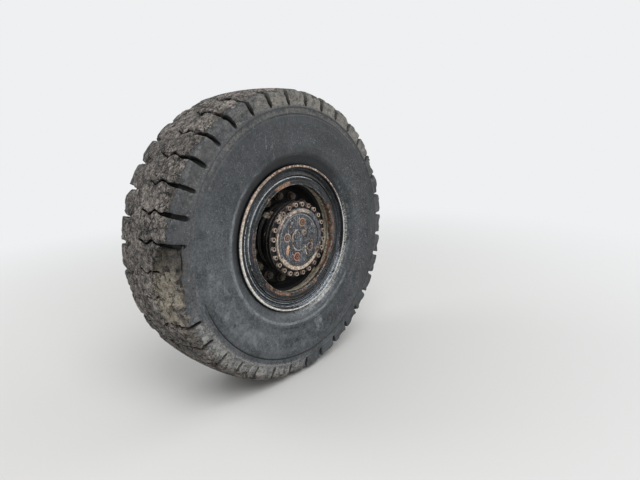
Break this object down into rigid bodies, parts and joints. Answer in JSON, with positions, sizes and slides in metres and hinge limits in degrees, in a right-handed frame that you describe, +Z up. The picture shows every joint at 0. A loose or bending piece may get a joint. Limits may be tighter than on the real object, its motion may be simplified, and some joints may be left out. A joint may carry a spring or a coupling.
{
  "type": "driven excavator wheel with its axle end",
  "caption": "Large excavator wheel: solid lugged tyre on a multi-piece rim and planetary hub, turning on a short flanged axle end.",
  "frame": {"origin": "centre of the axle arm's inner bolting face, on the wheel's axis", "axes": "+Y along the wheel's axis from the wheel's outer face in towards the machine's middle, +Z up, +X along the machine"},
  "size_m": [1.476, 0.6662, 1.476],
  "materials": {
    "tyre_rubber": "worn, dusty, matt",
    "rim_paint": "black paint, rusted along edges",
    "hub_paint": "worn dark grey paint with rust and dust",
    "axle_paint": "black paint, dusty",
    "rusty_steel": "light rust on bare steel",
    "bare_steel": "machined steel",
    "seal_rubber": "smooth black rubber"
  },
  "bodies": {
    "axle": {"axle_arm": "axle_paint", "brake_housing": "axle_paint", "spindle": "bare_steel", "housing_bolts": "bare_steel", "face_seal": "bare_steel", "shaft_bush": "bare_steel", "shaft_seal": "seal_rubber", "brake_fittings": "bare_steel", "axle_breather": "bare_steel"},
    "wheel": {"tyre": "tyre_rubber", "rim_base": "rim_paint", "bead_seat_band": "rim_paint", "side_ring_outer": "rim_paint", "side_ring_inner": "rim_paint", "lock_ring": "rim_paint", "wheel_disc": "rim_paint", "wheel_studs": "rusty_steel", "wheel_nuts": "rusty_steel", "hub_drum": "hub_paint", "hub_end_plate": "hub_paint", "hub_cover": "hub_paint", "cover_screws": "rusty_steel", "pin_plugs": "rusty_steel", "oil_plugs": "rusty_steel"},
    "shaft": {"half_shaft": "bare_steel"}
  },
  "joints": [
    {"name": "wheel_spin", "type": "hinge", "parent": "axle", "child": "wheel", "pos_m": [0, -0.5, 0], "axis": [0, 1, 0], "continuous": true},
    {"name": "shaft_spin", "type": "hinge", "parent": "axle", "child": "shaft", "pos_m": [0, -0.5, 0], "axis": [0, 1, 0], "continuous": true}
  ],
  "couplings": [
    {"joint": "shaft_spin", "follows": "wheel_spin", "ratio": 6}
  ]
}
